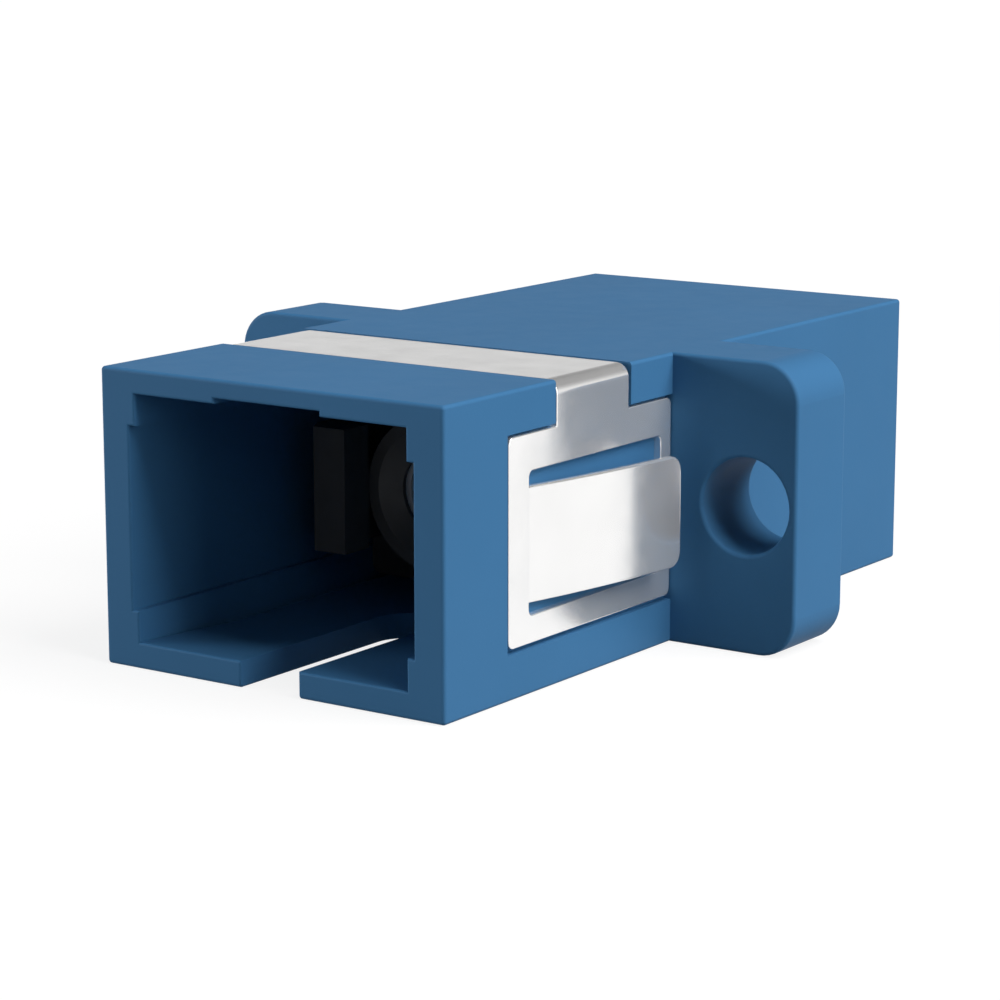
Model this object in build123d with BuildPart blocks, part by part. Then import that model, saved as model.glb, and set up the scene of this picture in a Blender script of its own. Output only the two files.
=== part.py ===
from build123d import *
from math import degrees
import os

# Flanged fibre optic adapter for two square push-pull plugs, in millimetres.
# X runs across the width, Y along the light path and Z up.
# The origin is on the underside, below the middle of the adapter.

# Body
body_width = 13.0
body_height = 9.4
body_length = 27.8
edge_break = 0.12

# Mounting flange, one ear each side
flange_span = 22.1
flange_thickness = 3.06
flange_corner_radius = 1.3
screw_outer_wall = 0.3
screw_inner_wall = 1.13
screw_edge_break = 0.13

# Sockets, the same at both ends
side_wall = 1.35
floor_wall = 0.84
roof_wall = 0.76
mouth_break = 0.08
web_thickness = 1.0
guide_groove_depth = 0.25
guide_groove_height = 5.8
roof_groove_width = 4.0
roof_groove_depth = 0.17
key_slot_width = 2.22
key_slot_length = 8.1
relief_width = 0.6
relief_depth = 0.3
relief_setback = 0.4
relief_run_in = 4.0

# Fits between the moulded pieces
insert_gap = 0.05
pin_gap = 0.05
sleeve_gap = 0.1
sleeve_end_gap = 0.05
ferrule_entry_gap = 0.17

# Latch inserts, two alike, back to back through the web
base_thickness = 1.5
base_corner_radius = 0.4
spigot_width = 8.4
spigot_height = 5.6
spigot_corner_radius = 0.8
holder_radius = 2.55
holder_reach = 5.55
holder_lip = 0.5
holder_mouth_radius = 2.15
holder_mouth_land = 0.15
latch_reach = 6.9
latch_height = 4.08
latch_arm_gap = 6.8
latch_arm_thickness = 0.7
latch_head_gap = 4.98
latch_head_length = 1.28
latch_nose_width = 1.25
latch_nose_taper = 0.7
latch_root_radius = 0.3
pin_radius = 0.5
pin_length = 0.8
pin_pitch = 6.4
pin_tip_chamfer = 0.12
pin_hole_depth = 1.0

# Split sleeve
sleeve_bore_radius = 1.25
sleeve_wall = 0.35
sleeve_slit = 0.5
sleeve_end_chamfer = 0.12

# Spring clip, one folded sheet
sheet = 0.25
sheet_edge_break = 0.04
clip_inset = 0.02
clip_gap = 0.1
clip_foot_gap = 0.15
clip_end_gap = 0.04
clip_bend_radius = 0.2
strip_width = 4.0
strip_centre_from_front = 7.83
plate_front = 3.3
plate_foot = 1.57
plate_height = 6.41
plate_corner_radius = 0.25
window_root = 1.07
window_end = 0.6
window_foot = 0.86
window_height = 4.4
window_corner_radius = 0.2
lower_slot = 0.38
upper_slot = 0.45
tongue_root_radius = 1.2
tongue_lift_angle = 12.5
tongue_back_radius = 48.0
tongue_tip_gap = 0.39
tongue_tip_radius = 0.5
tongue_edge_break = 0.07

# Places worked out from the sizes above
front = -body_length / 2
socket_width = body_width - 2 * side_wall
socket_height = body_height - floor_wall - roof_wall
socket_depth = (body_length - web_thickness) / 2
roof_height = body_height - roof_wall
axis_height = (floor_wall + roof_height) / 2
ear_width = (flange_span - body_width) / 2
screw_hole_radius = (ear_width - screw_outer_wall - screw_inner_wall) / 2
screw_pitch = flange_span - 2 * (screw_outer_wall + screw_hole_radius)
key_slot_round = key_slot_width / 2
base_width = socket_width - 2 * insert_gap
base_height = socket_height - 2 * insert_gap
window_width_in_web = spigot_width + 2 * insert_gap
window_height_in_web = spigot_height + 2 * insert_gap
seat_depth = sheet + clip_inset
seat_side = body_width / 2 - seat_depth
seat_top = body_height - seat_depth
strip_y = front + strip_centre_from_front
plate_length = (body_length - flange_thickness) / 2 - plate_front - clip_end_gap
plate_y = front + plate_front + plate_length / 2
plate_z = plate_foot + plate_height / 2
pocket_y = plate_y + (clip_end_gap - clip_gap) / 2
pocket_z = plate_z + (clip_gap - clip_foot_gap) / 2
sleeve_radius = sleeve_bore_radius + sleeve_wall
holder_entry_radius = sleeve_bore_radius + ferrule_entry_gap
sleeve_length = 2 * (holder_reach - holder_lip - sleeve_end_gap)

# Planes at the two mouths, with Z of the plane pointing out of the socket
front_mouth = Plane((0, front, 0), x_dir=(1, 0, 0), z_dir=(0, -1, 0))
rear_mouth = Plane((0, -front, 0), x_dir=(-1, 0, 0), z_dir=(0, 1, 0))

os.makedirs("parts", exist_ok=True)


def export_piece(piece, name):
    # The file's name is the piece's name
    piece.label = name
    export_step(piece, f"parts/{name}.step")


def on_height(value):
    # True for an edge whose middle lies at this height
    return lambda edge: abs(edge.center().Z - value) < 1e-4


# Flange plate, joined to the body below
with BuildPart() as flange:
    with BuildSketch(Plane.XZ.offset(flange_thickness / 2)):
        with Locations((0, body_height / 2)):
            RectangleRounded(flange_span, body_height, flange_corner_radius)
    extrude(amount=-flange_thickness)
    fillet(flange.edges().filter_by(Axis.Y, reverse=True), edge_break)
    with BuildSketch(Plane.XZ.offset(flange_thickness / 2)):
        with Locations((0, axis_height)):
            with GridLocations(screw_pitch, 0, 2, 1):
                Circle(screw_hole_radius)
    extrude(amount=-flange_thickness, mode=Mode.SUBTRACT)
    rims = flange.edges().filter_by(GeomType.CIRCLE)
    fillet(rims.filter_by(lambda edge: abs(edge.radius - screw_hole_radius) < 1e-6), screw_edge_break)

# Housing, one moulding
with BuildPart() as housing:
    with BuildSketch(Plane.XY):
        Rectangle(body_width, body_length)
    extrude(amount=body_height)
    fillet(housing.edges(), edge_break)
    add(flange.part)

    # Sockets with their guide grooves and the shallow groove in the roof
    for mouth in (front_mouth, rear_mouth):
        with BuildSketch(mouth):
            with Locations((0, axis_height)):
                Rectangle(socket_width, socket_height)
                Rectangle(socket_width + 2 * guide_groove_depth, guide_groove_height)
            with Locations((0, roof_height)):
                Rectangle(roof_groove_width, 2 * roof_groove_depth)
        extrude(amount=-socket_depth, mode=Mode.SUBTRACT)

    # Key slots through the floor, each with a round inner end
    for end in (-1, 1):
        with BuildSketch(Plane.XY):
            with Locations((0, end * (body_length - key_slot_length + key_slot_round) / 2)):
                Rectangle(key_slot_width, key_slot_length - key_slot_round)
            with Locations((0, end * (body_length / 2 - key_slot_length + key_slot_round))):
                Circle(key_slot_round)
        extrude(amount=axis_height, mode=Mode.SUBTRACT)

    # Shallow reliefs along the floor's corners, which run out just behind the mouth
    for side in (-1, 1):
        for end in (-1, 1):
            wall = side * socket_width / 2
            inner = side * (socket_width / 2 - relief_width)
            mouth_y = end * body_length / 2
            with BuildSketch(Plane.XY.offset(floor_wall)):
                with BuildLine():
                    Polyline(
                        (wall, mouth_y - end * relief_setback),
                        (inner, mouth_y - end * relief_run_in),
                        (inner, end * web_thickness / 2),
                        (wall, end * web_thickness / 2),
                        close=True,
                    )
                make_face()
            extrude(amount=-relief_depth, mode=Mode.SUBTRACT)

    # Edges round the two mouths are broken, down through the key slots
    rims = housing.edges().filter_by(lambda edge: abs(abs(edge.center().Y) - body_length / 2) < 1e-4)
    rims = rims.filter_by(lambda edge: abs(edge.center().X) < body_width / 2 - side_wall / 2)
    rims = rims.filter_by(lambda edge: floor_wall / 4 < edge.center().Z < body_height - roof_wall / 3)
    fillet(rims, mouth_break)

    # Window in the web for the spigots of the two inserts
    with BuildSketch(Plane.XZ):
        with Locations((0, axis_height)):
            RectangleRounded(window_width_in_web, window_height_in_web, spigot_corner_radius)
    extrude(amount=web_thickness, both=True, mode=Mode.SUBTRACT)

    # Seat of the clip: a pocket in each side, a neck above it and a channel across the roof
    for side in (-1, 1):
        with BuildSketch(Plane.YZ.offset(side * body_width / 2)):
            with Locations((pocket_y, pocket_z)):
                Rectangle(plate_length + clip_gap + clip_end_gap, plate_height + clip_gap + clip_foot_gap)
            with Locations((strip_y, (body_height + plate_z) / 2)):
                Rectangle(strip_width + 2 * clip_gap, body_height - plate_z)
        extrude(amount=-side * seat_depth, mode=Mode.SUBTRACT)
    with BuildSketch(Plane.XY.offset(body_height)):
        with Locations((0, strip_y)):
            Rectangle(body_width, strip_width + 2 * clip_gap)
    extrude(amount=-seat_depth, mode=Mode.SUBTRACT)
    shoulders = housing.edges().filter_by(Axis.Y).filter_by(on_height(seat_top))
    fillet(shoulders.filter_by(lambda edge: edge.length > strip_width), clip_bend_radius + insert_gap)

# Latch insert: base plate, spigot, half of the sleeve holder, two hooks, a pin and a pin hole.
# The front one is modelled. The rear one is the same moulding turned half round about Z.
with BuildPart() as latch_insert:
    base_face = web_thickness / 2
    axis_plane = Plane.XZ.offset(base_face)
    with BuildSketch(axis_plane):
        with Locations((0, axis_height)):
            RectangleRounded(base_width, base_height, base_corner_radius)
    extrude(amount=base_thickness)
    with BuildSketch(Plane.XZ):
        with Locations((0, axis_height)):
            RectangleRounded(spigot_width, spigot_height, spigot_corner_radius - insert_gap)
    extrude(amount=base_face)

    # Latch arms with their inward heads
    hook_front = -latch_reach
    head_back = hook_front + latch_head_length
    arm_foot = -(base_face + base_thickness)
    arm_inside = latch_arm_gap / 2
    arm_outside = arm_inside + latch_arm_thickness
    head_inside = latch_head_gap / 2
    nose_outside = head_inside + latch_nose_width
    with BuildSketch(Plane.XY.offset(axis_height - latch_height / 2)):
        with BuildLine():
            Polyline(
                (arm_inside, arm_foot),
                (arm_inside, head_back),
                (head_inside, head_back),
                (head_inside, hook_front),
                (nose_outside, hook_front),
                (arm_outside, hook_front + latch_nose_taper),
                (arm_outside, arm_foot),
                close=True,
            )
        make_face()
        mirror(about=Plane.YZ)
    extrude(amount=latch_height)
    roots = latch_insert.edges().filter_by(Axis.Z)
    roots = roots.filter_by(lambda edge: abs(edge.center().Y - arm_foot) < 1e-4)
    roots = roots.filter_by(lambda edge: abs(edge.center().X) < arm_outside + insert_gap)
    fillet(roots, latch_root_radius)

    # Sleeve holder: a tube with an inward lip and a flared mouth
    with BuildSketch(Plane.YZ):
        with BuildLine():
            Polyline(
                (arm_foot, axis_height),
                (arm_foot, axis_height + holder_radius),
                (-holder_reach, axis_height + holder_radius),
                (-holder_reach, axis_height),
                close=True,
            )
        make_face()
    revolve(axis=Axis((0, 0, axis_height), (0, 1, 0)))
    bore_radius = sleeve_radius + sleeve_gap
    lip_inside = -holder_reach + holder_lip
    with BuildSketch(Plane.YZ):
        with BuildLine():
            Polyline(
                (0, axis_height),
                (0, axis_height + bore_radius),
                (lip_inside, axis_height + bore_radius),
                (lip_inside, axis_height + holder_entry_radius),
                (lip_inside - holder_mouth_land, axis_height + holder_entry_radius),
                (-holder_reach, axis_height + holder_mouth_radius),
                (-holder_reach, axis_height),
                close=True,
            )
        make_face()
    revolve(axis=Axis((0, 0, axis_height), (0, 1, 0)), mode=Mode.SUBTRACT)

    # Locating pin on one side of the tube, and the hole for the other insert's pin on the other
    with BuildSketch(Plane.XZ):
        with Locations((pin_pitch / 2, axis_height)):
            Circle(pin_radius)
    extrude(amount=-pin_length)
    tip = latch_insert.edges().sort_by(Axis.Y)[-1]
    chamfer(tip, pin_tip_chamfer)
    with BuildSketch(Plane.XZ):
        with Locations((-pin_pitch / 2, axis_height)):
            Circle(pin_radius + pin_gap)
    extrude(amount=pin_hole_depth, mode=Mode.SUBTRACT)

with BuildPart() as rear_insert:
    add(latch_insert.part.rotate(Axis.Z, 180))

# Split sleeve that lines up the two ferrules
with BuildPart() as sleeve:
    with BuildSketch(Plane((0, -sleeve_length / 2, axis_height), x_dir=(1, 0, 0), z_dir=(0, 1, 0))):
        Circle(sleeve_radius)
        Circle(sleeve_bore_radius, mode=Mode.SUBTRACT)
    extrude(amount=sleeve_length)
    rims = sleeve.edges().filter_by(GeomType.CIRCLE)
    outer_rims = rims.filter_by(lambda edge: edge.radius > sleeve_bore_radius + sleeve_wall / 2)
    chamfer(outer_rims, sleeve_end_chamfer)
    with BuildSketch(Plane.XY.offset(axis_height)):
        Rectangle(sleeve_slit, sleeve_length)
    extrude(amount=sleeve_radius, mode=Mode.SUBTRACT)

# Tongue of the clip, drawn for the +X side: it lifts from its root and eases back towards the tip
clip_inside = seat_side
tongue_root_y = front + plate_front + window_root
window_length = plate_length - window_root - window_end
tongue_length = window_length - tongue_tip_gap
tongue_width = window_height - lower_slot - upper_slot
tongue_z = plate_foot + window_foot + lower_slot + tongue_width / 2
tongue_back_angle = degrees(tongue_length / tongue_back_radius)
with BuildPart() as tongue:
    with BuildSketch(Plane.XY.offset(tongue_z - tongue_width / 2)):
        with BuildLine():
            root = Line((clip_inside, tongue_root_y - sheet), (clip_inside, tongue_root_y))
            lift = JernArc(root @ 1, root % 1, tongue_root_radius, -tongue_lift_angle)
            JernArc(lift @ 1, lift % 1, tongue_back_radius, tongue_back_angle)
            offset(amount=sheet, side=Side.RIGHT)
        make_face()
    extrude(amount=tongue_width)
    blank_start = tongue_root_y - sheet - tongue_tip_radius
    blank_length = tongue_root_y + tongue_length - blank_start
    with BuildSketch(Plane.YZ):
        with Locations((blank_start + blank_length / 2, tongue_z)):
            RectangleRounded(blank_length, tongue_width, tongue_tip_radius)
    extrude(amount=body_width, mode=Mode.INTERSECT)
    past_root = tongue.edges().filter_by(lambda edge: edge.center().Y > tongue_root_y + sheet)
    sides = past_root.filter_by(lambda edge: edge.length > 1.2 * sheet).filter_by(Axis.Z, reverse=True)
    tips = past_root.filter_by(Axis.Z).sort_by(Axis.Y)[-2:]
    fillet(sides + tips, tongue_edge_break)


def is_outer_rim(edge):
    # True for an edge on the outer face of the clip's plates, strip or bends
    middle = edge.center()
    on_plate = abs(abs(middle.X) - clip_inside - sheet) < 1e-4
    on_strip = abs(middle.Z - seat_top - sheet) < 1e-4
    on_bend = edge.geom_type == GeomType.CIRCLE and abs(edge.radius - clip_bend_radius - sheet) < 1e-4
    return on_plate or on_strip or on_bend


# Spring clip: a strip across the roof, bent down at both sides into a plate with a window
with BuildPart() as clip:
    with BuildSketch(Plane.XZ.offset(-strip_y - strip_width / 2)):
        with BuildLine():
            FilletPolyline(
                (-clip_inside, plate_z),
                (-clip_inside, seat_top),
                (clip_inside, seat_top),
                (clip_inside, plate_z),
                radius=clip_bend_radius,
            )
            offset(amount=sheet, side=Side.LEFT)
        make_face()
    extrude(amount=strip_width)
    for side in (-1, 1):
        with BuildSketch(Plane.YZ.offset(side * clip_inside)):
            with Locations((plate_y, plate_z)):
                RectangleRounded(plate_length, plate_height, plate_corner_radius)
        extrude(amount=side * sheet)
    with BuildSketch(Plane.YZ):
        with Locations((tongue_root_y + window_length / 2, plate_foot + window_foot + window_height / 2)):
            RectangleRounded(window_length, window_height, window_corner_radius)
    extrude(amount=body_width, both=True, mode=Mode.SUBTRACT)
    rims = clip.edges().filter_by(is_outer_rim)
    fillet(rims.filter_by(lambda edge: abs(edge.length - strip_width) > 1e-4), sheet_edge_break)
    add(tongue.part)
    mirror(tongue.part, about=Plane.YZ)

export_piece(housing.part, "housing")
export_piece(latch_insert.part, "front_latch_insert")
export_piece(rear_insert.part, "rear_latch_insert")
export_piece(sleeve.part, "alignment_sleeve")
export_piece(clip.part, "mounting_clip")
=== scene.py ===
import math

import bpy
from bpy.props import FloatProperty, FloatVectorProperty, PointerProperty
from bpy.types import Operator, Panel, PropertyGroup
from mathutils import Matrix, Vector


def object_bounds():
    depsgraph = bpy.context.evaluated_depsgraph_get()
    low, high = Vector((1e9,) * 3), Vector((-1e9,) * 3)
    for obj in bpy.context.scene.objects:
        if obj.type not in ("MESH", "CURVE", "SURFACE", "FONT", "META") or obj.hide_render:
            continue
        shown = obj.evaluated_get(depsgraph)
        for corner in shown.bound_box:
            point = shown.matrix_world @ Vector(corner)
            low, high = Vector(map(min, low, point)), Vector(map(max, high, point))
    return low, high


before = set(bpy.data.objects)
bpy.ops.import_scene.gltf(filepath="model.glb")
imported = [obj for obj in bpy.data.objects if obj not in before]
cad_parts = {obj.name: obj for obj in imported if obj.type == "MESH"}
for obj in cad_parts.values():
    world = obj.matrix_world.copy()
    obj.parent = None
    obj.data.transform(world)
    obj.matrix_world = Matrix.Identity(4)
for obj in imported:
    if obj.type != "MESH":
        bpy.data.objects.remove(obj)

bl_info = {
    "name": "Flanged Fibre Adapter Finishes",
    "version": (1, 0, 0),
    "blender": (4, 5, 0),
    "location": "3D Viewport > Sidebar > Adapter",
    "description": "Plastics, spring steel and ceramic for a flanged fibre adapter, and its studio",
    "category": "Object",
}

CAD_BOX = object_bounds()
MIDDLE = (CAD_BOX[0] + CAD_BOX[1]) / 2

# A hundredth of a millimetre, by which the floor lies under the adapter
FLOOR_DROP = 0.00001

# How wide the floor is, and where its plain white starts to take over and has done so, in metres
FLOOR_SIZE = 3
NEAR_FLOOR = 0.02
FAR_FLOOR = 0.09

# How far the lamps hang from the adapter, in metres
LAMP_DISTANCE = 0.35

# Middle part of a noise's values, which is stretched over the range that a material asks for
NOISE_LOW = 0.3
NOISE_HIGH = 0.7


# Settings that a user would change


class HousingSettings(PropertyGroup):
    """Blue moulded plastic of the housing"""

    colour: FloatVectorProperty(
        name="Colour",
        description="Colour of the moulded plastic",
        subtype="COLOR",
        size=3,
        min=0,
        max=1,
        default=(0.048, 0.16, 0.322),
    )
    roughness: FloatProperty(
        name="Roughness",
        description="How matt the moulded faces are",
        subtype="FACTOR",
        min=0,
        max=1,
        default=0.5,
    )
    grain_size: FloatProperty(
        name="Grain size",
        description="Width of one grain of the mould's texture",
        subtype="DISTANCE",
        unit="LENGTH",
        default=0.00011,
    )
    grain_depth: FloatProperty(
        name="Grain depth",
        description="Depth of the mould's texture",
        subtype="DISTANCE",
        unit="LENGTH",
        default=0.0000022,
    )


class InsertSettings(PropertyGroup):
    """Black moulded plastic of the two latch inserts"""

    colour: FloatVectorProperty(
        name="Colour",
        description="Colour of the inserts",
        subtype="COLOR",
        size=3,
        min=0,
        max=1,
        default=(0.07, 0.07, 0.07),
    )
    roughness: FloatProperty(
        name="Roughness",
        description="How matt the inserts are",
        subtype="FACTOR",
        min=0,
        max=1,
        default=0.45,
    )


class SleeveSettings(PropertyGroup):
    """White ceramic of the split sleeve"""

    colour: FloatVectorProperty(
        name="Colour",
        description="Colour of the ceramic",
        subtype="COLOR",
        size=3,
        min=0,
        max=1,
        default=(0.70, 0.68, 0.64),
    )
    roughness: FloatProperty(
        name="Roughness",
        description="How matt the ground ceramic is",
        subtype="FACTOR",
        min=0,
        max=1,
        default=0.16,
    )


class ClipSettings(PropertyGroup):
    """Rolled spring steel of the mounting clip"""

    colour: FloatVectorProperty(
        name="Colour",
        description="Colour of the bare steel",
        subtype="COLOR",
        size=3,
        min=0,
        max=1,
        default=(0.92, 0.915, 0.91),
    )
    roughness: FloatProperty(
        name="Roughness",
        description="How blurred the reflections in the steel are",
        subtype="FACTOR",
        min=0,
        max=1,
        default=0.17,
    )
    line_width: FloatProperty(
        name="Rolling line width",
        description="Width of one rolling line in the sheet",
        subtype="DISTANCE",
        unit="LENGTH",
        default=0.00005,
    )


class StudioSettings(PropertyGroup):
    """Camera, floor, world and lamps"""

    camera_place: FloatVectorProperty(
        name="Camera place",
        description="Where the camera stands",
        subtype="TRANSLATION",
        unit="LENGTH",
        size=3,
        default=(0.05678, -0.08341, 0.02396),
    )
    camera_azimuth: FloatProperty(
        name="Camera azimuth",
        description="How far the camera is turned to the right of the front",
        subtype="ANGLE",
        default=math.radians(34.81),
    )
    camera_elevation: FloatProperty(
        name="Camera elevation",
        description="How far the camera looks down",
        subtype="ANGLE",
        default=math.radians(11.382),
    )
    camera_lens: FloatProperty(
        name="Lens",
        description="Focal length of the camera's lens, in millimetres on a 36 mm sensor",
        default=110.55,
    )
    floor_colour: FloatVectorProperty(
        name="Floor colour",
        description="Colour of the floor where the camera sees it",
        subtype="COLOR",
        size=3,
        min=0,
        max=1,
        default=(1, 1, 1),
    )
    floor_bounce: FloatVectorProperty(
        name="Floor bounce",
        description="Share of the light that the floor throws back on the adapter",
        subtype="COLOR",
        size=3,
        min=0,
        max=1,
        default=(0.15, 0.15, 0.15),
    )
    ambient: FloatProperty(
        name="Ambient light",
        description="Strength of the light from all round",
        default=0.07,
    )
    key_power: FloatProperty(
        name="Key lamp",
        description="Power of the lamp high on the right",
        unit="POWER",
        default=1.52,
    )
    side_power: FloatProperty(
        name="Side lamp",
        description="Power of the lamp low on the right",
        unit="POWER",
        default=0.42,
    )
    left_power: FloatProperty(
        name="Left lamp",
        description="Power of the lamp low at the front left",
        unit="POWER",
        default=0.94,
    )
    front_power: FloatProperty(
        name="Front lamp",
        description="Power of the lamp at the front right",
        unit="POWER",
        default=0.045,
    )


# Node helpers


def add_node(tree, kind, column, row):
    # A new node, laid out on a grid so that the tree can be read in the editor
    node = tree.nodes.new(kind)
    node.location = (column * 220, -row * 260)
    return node


def new_material(name):
    # A material with only a Principled shader and its output
    material = bpy.data.materials.new(name)
    material.use_nodes = True
    tree = material.node_tree
    tree.nodes.clear()
    output = add_node(tree, "ShaderNodeOutputMaterial", 6, 0)
    shader = add_node(tree, "ShaderNodeBsdfPrincipled", 5, 0)
    tree.links.new(shader.outputs["BSDF"], output.inputs["Surface"])
    return material, tree, shader


def add_noise(tree, row, size, detail, stretch=(1, 1, 1)):
    # Noise on the object's own coordinates, with features of about this size in metres
    coordinates = add_node(tree, "ShaderNodeTexCoord", 0, row)
    mapping = add_node(tree, "ShaderNodeMapping", 1, row)
    mapping.inputs["Scale"].default_value = stretch
    noise = add_node(tree, "ShaderNodeTexNoise", 2, row)
    noise.inputs["Scale"].default_value = 1 / size
    noise.inputs["Detail"].default_value = detail
    tree.links.new(coordinates.outputs["Object"], mapping.inputs["Vector"])
    tree.links.new(mapping.outputs["Vector"], noise.inputs["Vector"])
    return noise.outputs["Fac"]


def spread_over(tree, row, factor, low, high):
    # The middle of a noise stretched over a range of values
    spread = add_node(tree, "ShaderNodeMapRange", 3, row)
    spread.inputs["From Min"].default_value = NOISE_LOW
    spread.inputs["From Max"].default_value = NOISE_HIGH
    spread.inputs["To Min"].default_value = low
    spread.inputs["To Max"].default_value = high
    tree.links.new(factor, spread.inputs["Value"])
    return spread.outputs["Result"]


def mix_colours(tree, row, factor, first, second):
    # A colour between two others
    mix = add_node(tree, "ShaderNodeMix", 4, row)
    mix.data_type = "RGBA"
    colours = [socket for socket in mix.inputs if socket.type == "RGBA"]
    colours[0].default_value = (*first, 1)
    colours[1].default_value = (*second, 1)
    tree.links.new(factor, mix.inputs["Factor"])
    return next(socket for socket in mix.outputs if socket.type == "RGBA")


def shade_of(colour, amount):
    # The colour made lighter or darker
    return tuple(min(channel * amount, 1) for channel in colour)


def vary_colour(tree, shader, colour, size, detail, darkest, lightest):
    # Patches of about this size in metres, between a darker and a lighter shade of the colour
    patches = add_noise(tree, 0, size, detail)
    share = spread_over(tree, 0, patches, 0, 1)
    dark = shade_of(colour, darkest)
    light = shade_of(colour, lightest)
    mixed = mix_colours(tree, 0, share, dark, light)
    tree.links.new(mixed, shader.inputs["Base Color"])


def vary_roughness(tree, shader, noise, smoothest, roughest):
    # A roughness that follows the noise between two values
    rough = spread_over(tree, 1, noise, smoothest, roughest)
    tree.links.new(rough, shader.inputs["Roughness"])


def add_bump(tree, shader, row, height, depth):
    # Relief of this depth in metres
    bump = add_node(tree, "ShaderNodeBump", 4, row)
    bump.inputs["Strength"].default_value = 1
    bump.inputs["Distance"].default_value = depth
    tree.links.new(height, bump.inputs["Height"])
    tree.links.new(bump.outputs["Normal"], shader.inputs["Normal"])


def dress(node_name, material):
    # Puts the material in every slot of a node's object
    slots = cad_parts[node_name].material_slots
    for slot in slots:
        slot.material = material


# Materials


def blue_plastic(settings):
    # Satin moulded plastic with a fine mould grain and faint flow shades
    material, tree, shader = new_material("Blue moulded plastic")
    vary_colour(tree, shader, settings.colour, size=0.006, detail=3, darkest=0.975, lightest=1.025)
    gloss = add_noise(tree, 1, size=0.0009, detail=4)
    vary_roughness(tree, shader, gloss, settings.roughness - 0.02, settings.roughness + 0.02)
    grain = add_noise(tree, 2, settings.grain_size, detail=2)
    add_bump(tree, shader, 2, grain, settings.grain_depth)
    shader.inputs["IOR"].default_value = 1.46
    shader.inputs["Specular IOR Level"].default_value = 0.06
    return material


def black_plastic(settings):
    # Dark glass-filled plastic with a slightly uneven gloss
    material, tree, shader = new_material("Black moulded plastic")
    vary_colour(tree, shader, settings.colour, size=0.003, detail=3, darkest=0.85, lightest=1.2)
    gloss = add_noise(tree, 1, size=0.0006, detail=4)
    vary_roughness(tree, shader, gloss, settings.roughness - 0.06, settings.roughness + 0.06)
    grain = add_noise(tree, 2, size=0.00009, detail=2)
    add_bump(tree, shader, 2, grain, depth=0.000002)
    shader.inputs["Specular IOR Level"].default_value = 0.15
    return material


def white_ceramic(settings):
    # Ground ceramic, with faint grinding lines round the sleeve
    material, tree, shader = new_material("White ground ceramic")
    vary_colour(tree, shader, settings.colour, size=0.002, detail=3, darkest=0.96, lightest=1.04)
    lines = add_noise(tree, 1, size=0.00006, detail=3, stretch=(0.05, 1, 0.05))
    vary_roughness(tree, shader, lines, settings.roughness - 0.05, settings.roughness + 0.06)
    add_bump(tree, shader, 2, lines, depth=0.0000004)
    shader.inputs["IOR"].default_value = 2.1
    shader.inputs["Specular IOR Level"].default_value = 0.2
    return material


def spring_steel(settings):
    # Bright rolled strip, with fine lines along the rolling direction and faint handling marks
    material, tree, shader = new_material("Bright spring steel")
    vary_colour(tree, shader, settings.colour, size=0.0035, detail=4, darkest=0.96, lightest=1.03)
    marks = add_noise(tree, 1, size=0.0012, detail=5)
    vary_roughness(tree, shader, marks, settings.roughness - 0.03, settings.roughness + 0.04)
    lines = add_noise(tree, 2, settings.line_width, detail=3, stretch=(1, 0.04, 1))
    add_bump(tree, shader, 2, lines, depth=0.00000035)
    shader.inputs["Metallic"].default_value = 0.74
    return material


def studio_floor(settings):
    # White floor that keeps the adapter's shadow. Near the adapter it is mostly plain white to the
    # camera and in the gloss, and further away wholly. The light that it throws back is set by itself.
    material = bpy.data.materials.new("Studio floor")
    material.use_nodes = True
    tree = material.node_tree
    tree.nodes.clear()
    output = add_node(tree, "ShaderNodeOutputMaterial", 6, 0)
    bounce = add_node(tree, "ShaderNodeBsdfDiffuse", 4, 1)
    bounce.inputs["Color"].default_value = (*settings.floor_bounce, 1)
    paint = add_node(tree, "ShaderNodeBsdfDiffuse", 3, 0)
    paint.inputs["Color"].default_value = (*settings.floor_colour, 1)
    glow = add_node(tree, "ShaderNodeEmission", 3, 1)
    glow.inputs["Strength"].default_value = 1.02
    seen = add_node(tree, "ShaderNodeMixShader", 4, 0)
    tree.links.new(distance_share(tree), seen.inputs["Fac"])
    tree.links.new(paint.outputs["BSDF"], seen.inputs[1])
    tree.links.new(glow.outputs["Emission"], seen.inputs[2])
    either = add_node(tree, "ShaderNodeMixShader", 5, 0)
    tree.links.new(seen_share(tree), either.inputs["Fac"])
    tree.links.new(bounce.outputs["BSDF"], either.inputs[1])
    tree.links.new(seen.outputs["Shader"], either.inputs[2])
    tree.links.new(either.outputs["Shader"], output.inputs["Surface"])
    return material


def distance_share(tree):
    # How much of the floor is plain white, which grows away from the adapter
    place = add_node(tree, "ShaderNodeTexCoord", 0, 0)
    length = add_node(tree, "ShaderNodeVectorMath", 1, 0)
    length.operation = "LENGTH"
    tree.links.new(place.outputs["Object"], length.inputs[0])
    share = add_node(tree, "ShaderNodeMapRange", 2, 0)
    share.inputs["From Min"].default_value = NEAR_FLOOR
    share.inputs["From Max"].default_value = FAR_FLOOR
    share.inputs["To Min"].default_value = 0.84
    share.inputs["To Max"].default_value = 1
    tree.links.new(length.outputs["Value"], share.inputs["Value"])
    return share.outputs["Result"]


def seen_share(tree):
    # 1 for what the camera, a reflection or a clear material sees, and 0 for the light on the adapter
    path = add_node(tree, "ShaderNodeLightPath", 0, 3)
    first = add_node(tree, "ShaderNodeMath", 1, 3)
    first.operation = "MAXIMUM"
    tree.links.new(path.outputs["Is Camera Ray"], first.inputs[0])
    tree.links.new(path.outputs["Is Glossy Ray"], first.inputs[1])
    second = add_node(tree, "ShaderNodeMath", 2, 3)
    second.operation = "MAXIMUM"
    tree.links.new(first.outputs["Value"], second.inputs[0])
    tree.links.new(path.outputs["Is Transmission Ray"], second.inputs[1])
    return second.outputs["Value"]


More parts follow.
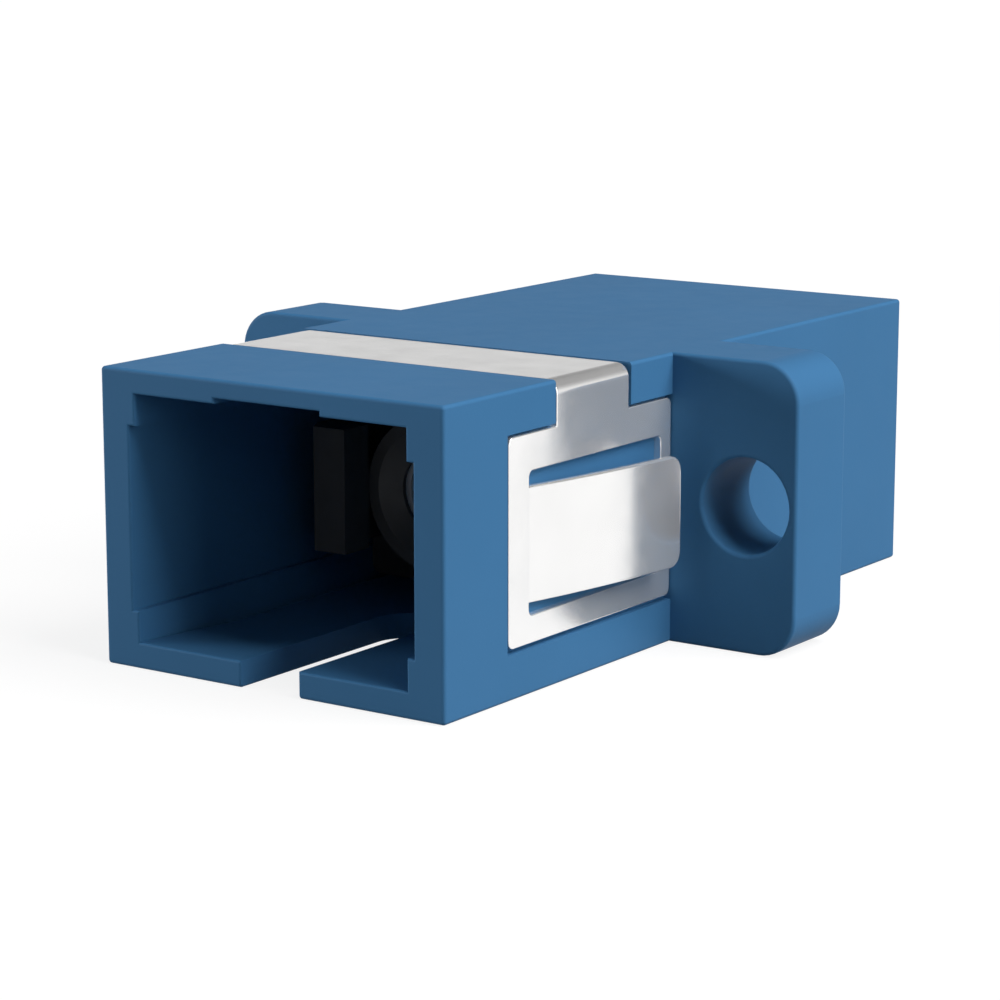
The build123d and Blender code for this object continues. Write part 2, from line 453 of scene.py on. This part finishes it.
def ceiling_shade(tree):
    # The studio's ceiling in the gloss: white at the horizon and dark above, where no lamp hangs
    place = add_node(tree, "ShaderNodeTexCoord", 0, 1)
    parts = add_node(tree, "ShaderNodeSeparateXYZ", 1, 1)
    tree.links.new(place.outputs["Generated"], parts.inputs["Vector"])
    shade = add_node(tree, "ShaderNodeMapRange", 2, 1)
    shade.interpolation_type = "SMOOTHSTEP"
    shade.inputs["From Min"].default_value = -0.1
    shade.inputs["From Max"].default_value = 0.5
    shade.inputs["To Min"].default_value = 1
    shade.inputs["To Max"].default_value = 0.06
    tree.links.new(parts.outputs["Z"], shade.inputs["Value"])
    path = add_node(tree, "ShaderNodeLightPath", 1, 2)
    bright = add_node(tree, "ShaderNodeMath", 3, 1)
    bright.operation = "MAXIMUM"
    tree.links.new(shade.outputs["Result"], bright.inputs[0])
    tree.links.new(path.outputs["Is Camera Ray"], bright.inputs[1])
    return bright.outputs["Value"]


# Operators


class ADAPTER_OT_finish_housing(Operator):
    """Give the housing its blue plastic"""

    bl_idname = "adapter.finish_housing"
    bl_label = "Finish Housing"

    def execute(self, context):
        dress("housing", blue_plastic(context.scene.adapter_housing))
        return {"FINISHED"}


class ADAPTER_OT_finish_inserts(Operator):
    """Give the two latch inserts their black plastic"""

    bl_idname = "adapter.finish_inserts"
    bl_label = "Finish Latch Inserts"

    def execute(self, context):
        plastic = black_plastic(context.scene.adapter_insert)
        for name in ("front_latch_insert", "rear_latch_insert"):
            dress(name, plastic)
        return {"FINISHED"}


class ADAPTER_OT_finish_sleeve(Operator):
    """Give the split sleeve its white ceramic"""

    bl_idname = "adapter.finish_sleeve"
    bl_label = "Finish Sleeve"

    def execute(self, context):
        dress("alignment_sleeve", white_ceramic(context.scene.adapter_sleeve))
        return {"FINISHED"}


class ADAPTER_OT_finish_clip(Operator):
    """Give the mounting clip its spring steel"""

    bl_idname = "adapter.finish_clip"
    bl_label = "Finish Clip"

    def execute(self, context):
        dress("mounting_clip", spring_steel(context.scene.adapter_clip))
        return {"FINISHED"}


def direction(azimuth, elevation):
    # Unit vector towards a place at this azimuth to the right of the front and this elevation, in radians
    level = math.cos(elevation)
    return Vector((math.sin(azimuth) * level, -math.cos(azimuth) * level, math.sin(elevation)))


def add_softbox(collection, name, azimuth, elevation, width, power):
    # A square lamp that faces the adapter, at this azimuth and elevation in degrees
    towards = direction(math.radians(azimuth), math.radians(elevation))
    lamp = bpy.data.lights.new(name, "AREA")
    lamp.shape = "SQUARE"
    lamp.size = width
    lamp.energy = power
    softbox = bpy.data.objects.new(name, lamp)
    softbox.location = MIDDLE + towards * LAMP_DISTANCE
    softbox.rotation_mode = "QUATERNION"
    softbox.rotation_quaternion = (-towards).to_track_quat("-Z", "Y")
    collection.objects.link(softbox)


class ADAPTER_OT_set_up_studio(Operator):
    """Make the floor, the world, the lamps and the camera"""

    bl_idname = "adapter.set_up_studio"
    bl_label = "Set Up Studio"

    def execute(self, context):
        settings = context.scene.adapter_studio
        self.add_floor(context, settings)
        self.set_world(context, settings)
        self.add_lamps(context, settings)
        self.add_camera(context, settings)
        context.scene.view_settings.view_transform = "Standard"
        return {"FINISHED"}

    def add_floor(self, context, settings):
        bpy.ops.object.select_all(action="DESELECT")
        bpy.ops.mesh.primitive_plane_add(size=FLOOR_SIZE, location=(0, 0, -FLOOR_DROP))
        floor = context.active_object
        floor.name = "studio_floor"
        floor.data.materials.append(studio_floor(settings))

    def set_world(self, context, settings):
        world = bpy.data.worlds.new("Studio")
        context.scene.world = world
        world.use_nodes = True
        tree = world.node_tree
        tree.nodes.clear()
        output = add_node(tree, "ShaderNodeOutputWorld", 5, 0)
        background = add_node(tree, "ShaderNodeBackground", 4, 0)
        strength = add_node(tree, "ShaderNodeMix", 3, 0)
        strength.inputs["A"].default_value = settings.ambient
        tree.links.new(seen_share(tree), strength.inputs["Factor"])
        tree.links.new(ceiling_shade(tree), strength.inputs["B"])
        tree.links.new(strength.outputs["Result"], background.inputs["Strength"])
        background.inputs["Color"].default_value = (1, 1, 1, 1)
        tree.links.new(background.outputs["Background"], output.inputs["Surface"])

    def add_lamps(self, context, settings):
        lamps = context.collection
        add_softbox(lamps, "Key lamp", azimuth=98, elevation=50, width=0.26, power=settings.key_power)
        add_softbox(lamps, "Side lamp", azimuth=86, elevation=10, width=0.2, power=settings.side_power)
        add_softbox(lamps, "Left lamp", azimuth=-60, elevation=6, width=0.12, power=settings.left_power)
        add_softbox(lamps, "Front lamp", azimuth=48, elevation=24, width=0.12, power=settings.front_power)

    def add_camera(self, context, settings):
        lens = bpy.data.cameras.new("Camera")
        lens.sensor_width = 36
        lens.lens = settings.camera_lens
        lens.clip_start = 0.005
        lens.clip_end = 10
        camera = bpy.data.objects.new("Camera", lens)
        camera.location = settings.camera_place
        camera.rotation_euler = (math.pi / 2 - settings.camera_elevation, 0, settings.camera_azimuth)
        context.collection.objects.link(camera)
        context.scene.camera = camera


class ADAPTER_PT_sidebar(Panel):
    """Steps that finish the adapter, in order"""

    bl_idname = "ADAPTER_PT_sidebar"
    bl_label = "Fibre Adapter"
    bl_space_type = "VIEW_3D"
    bl_region_type = "UI"
    bl_category = "Adapter"

    def draw(self, context):
        for settings_name, operators in STEPS:
            box = self.layout.box()
            settings = getattr(context.scene, settings_name)
            for field in settings.__annotations__:
                box.prop(settings, field)
            for operator in operators:
                box.operator(operator.bl_idname)


# Each group of settings with the operators that use it
STEPS = (
    ("adapter_housing", (ADAPTER_OT_finish_housing,)),
    ("adapter_insert", (ADAPTER_OT_finish_inserts,)),
    ("adapter_sleeve", (ADAPTER_OT_finish_sleeve,)),
    ("adapter_clip", (ADAPTER_OT_finish_clip,)),
    ("adapter_studio", (ADAPTER_OT_set_up_studio,)),
)

SETTINGS = {
    "adapter_housing": HousingSettings,
    "adapter_insert": InsertSettings,
    "adapter_sleeve": SleeveSettings,
    "adapter_clip": ClipSettings,
    "adapter_studio": StudioSettings,
}

CLASSES = (
    HousingSettings,
    InsertSettings,
    SleeveSettings,
    ClipSettings,
    StudioSettings,
    ADAPTER_OT_finish_housing,
    ADAPTER_OT_finish_inserts,
    ADAPTER_OT_finish_sleeve,
    ADAPTER_OT_finish_clip,
    ADAPTER_OT_set_up_studio,
    ADAPTER_PT_sidebar,
)


def register():
    for cls in CLASSES:
        bpy.utils.register_class(cls)
    for name, group in SETTINGS.items():
        setattr(bpy.types.Scene, name, PointerProperty(type=group))


def unregister():
    for name in SETTINGS:
        delattr(bpy.types.Scene, name)
    for cls in reversed(CLASSES):
        bpy.utils.unregister_class(cls)


def main():
    register()
    bpy.ops.adapter.finish_housing()
    bpy.ops.adapter.finish_inserts()
    bpy.ops.adapter.finish_sleeve()
    bpy.ops.adapter.finish_clip()
    bpy.ops.adapter.set_up_studio()


if __name__ == "__main__":
    main()
